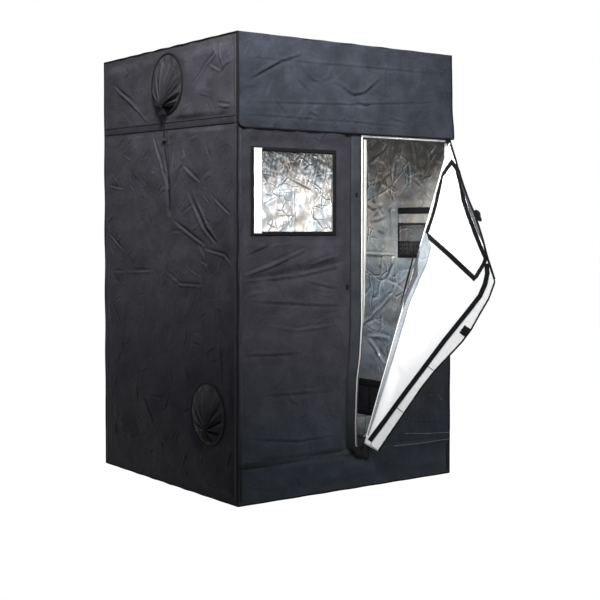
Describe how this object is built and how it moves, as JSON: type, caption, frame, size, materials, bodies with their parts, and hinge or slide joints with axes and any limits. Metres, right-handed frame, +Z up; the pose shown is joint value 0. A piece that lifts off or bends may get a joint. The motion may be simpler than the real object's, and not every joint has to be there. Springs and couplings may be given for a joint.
{
  "type": "grow tent",
  "caption": "Tall square cloth tent on a steel tube frame, with a zipped door folded open, a clear window, duct sleeves, a net vent and a front valance.",
  "frame": {"origin": "middle of the floor's underside", "axes": "+X to the tent's right side, -Y to its front, +Z up"},
  "size_m": [1.4639, 1.5858, 2.007],
  "materials": {
    "outer_cloth": "coarse black oxford weave, matt",
    "brow_cloth": "blue-grey oxford weave, matt",
    "reflective_lining": "crinkled metallised film, bright",
    "black_tape": "woven polyester tape, matt",
    "coated_steel": "white powder coat",
    "black_plastic": "moulded, matt",
    "tray_cloth": "coated waterproof cloth",
    "clear_film": "clear vinyl film",
    "black_net": "fine black mesh",
    "black_cord": "braided cord",
    "slider_metal": "dark zinc"
  },
  "bodies": {
    "tent": {"elbow_front_left_bottom": "black_plastic", "elbow_front_left_top": "black_plastic", "elbow_front_right_bottom": "black_plastic", "elbow_front_right_top": "black_plastic", "elbow_back_right_bottom": "black_plastic", "elbow_back_right_top": "black_plastic", "elbow_back_left_bottom": "black_plastic", "elbow_back_left_top": "black_plastic", "upright_front_left_lower": "coated_steel", "upright_front_left_upper": "coated_steel", "upright_back_left_lower": "coated_steel", "upright_back_left_upper": "coated_steel", "upright_front_right_lower": "coated_steel", "upright_front_right_upper": "coated_steel", "upright_back_right_lower": "coated_steel", "upright_back_right_upper": "coated_steel", "bottom_rail_front": "coated_steel", "bottom_rail_back": "coated_steel", "bottom_rail_left": "coated_steel", "bottom_rail_right": "coated_steel", "top_rail_front": "coated_steel", "top_rail_back": "coated_steel", "top_rail_left": "coated_steel", "top_rail_right": "coated_steel", "floor_panel": "outer_cloth", "roof_panel": "outer_cloth", "left_wall": "outer_cloth", "right_wall": "outer_cloth", "back_wall": "outer_cloth", "front_left_panel": "outer_cloth", "front_header": "outer_cloth", "front_sill": "outer_cloth", "door_lower_panel": "outer_cloth", "window_film": "clear_film", "window_tape": "black_tape", "window_strip": "reflective_lining", "door_zip": "reflective_lining", "duct_sleeve_left_upper": "outer_cloth", "duct_sleeve_left_lower": "outer_cloth", "duct_sleeve_right_upper": "outer_cloth", "drawstring": "black_cord", "cord_lock": "black_plastic", "cord_knot": "black_cord", "vent_net": "black_net", "organiser_pouch": "black_net", "organiser_strip": "black_tape", "spill_tray": "tray_cloth"},
    "flap": {"door_flap": "reflective_lining", "flap_zip_tape": "black_tape", "flap_window_tape_lower": "black_tape", "flap_window_tape_upper": "black_tape"},
    "flap_tip": {"door_corner": "outer_cloth", "corner_window_tape": "black_tape"},
    "brow": {"valance": "brow_cloth"},
    "cover": {"vent_cover": "outer_cloth"},
    "slider": {"zip_slider": "slider_metal"},
    "pull": {"zip_pull": "black_plastic"},
    "bar_front": {"hanging_bar_front": "coated_steel"},
    "bar_rear": {"hanging_bar_rear": "coated_steel"},
    "lock_button": {"cord_lock_button": "black_plastic"}
  },
  "joints": [
    {"name": "door_fold", "type": "hinge", "parent": "tent", "child": "flap", "pos_m": [0.0774, -0.6051, 0.2], "axis": [0.3515, 0, 0.9362], "range_deg": [-113, 7]},
    {"name": "tip_fold", "type": "hinge", "parent": "flap", "child": "flap_tip", "pos_m": [0.53229, -0.98142, 0.95716], "axis": [0.0945, 0.5029, 0.8591], "range_deg": [-105, 6.51]},
    {"name": "valance_lift", "type": "hinge", "parent": "tent", "child": "brow", "pos_m": [0, -0.6038, 2.007], "axis": [-1, 0, 0], "range_deg": [0, 175]},
    {"name": "vent_cover_lift", "type": "hinge", "parent": "tent", "child": "cover", "pos_m": [0.6108, 0, 0.415], "axis": [0, -1, 0], "range_deg": [0, 160]},
    {"name": "zip_travel", "type": "slide", "parent": "tent", "child": "slider", "axis": [0, 0, 1], "range_m": [0, 1.415]},
    {"name": "zip_pull_swing", "type": "hinge", "parent": "slider", "child": "pull", "pos_m": [0.068, -0.60565, 0.1675], "axis": [-1, 0, 0], "range_deg": [0, 175]},
    {"name": "front_bar_travel", "type": "slide", "parent": "tent", "child": "bar_front", "axis": [0, 1, 0], "range_m": [-0.355, 0.18]},
    {"name": "rear_bar_travel", "type": "slide", "parent": "tent", "child": "bar_rear", "axis": [0, 1, 0], "range_m": [-0.18, 0.355]},
    {"name": "cord_lock_press", "type": "slide", "parent": "tent", "child": "lock_button", "axis": [0, -1, 0], "range_m": [0, 0.003], "stiffness_N_per_m": 200}
  ],
  "couplings": [
    {"joint": "tip_fold", "follows": "door_fold", "ratio": 0.9292}
  ]
}
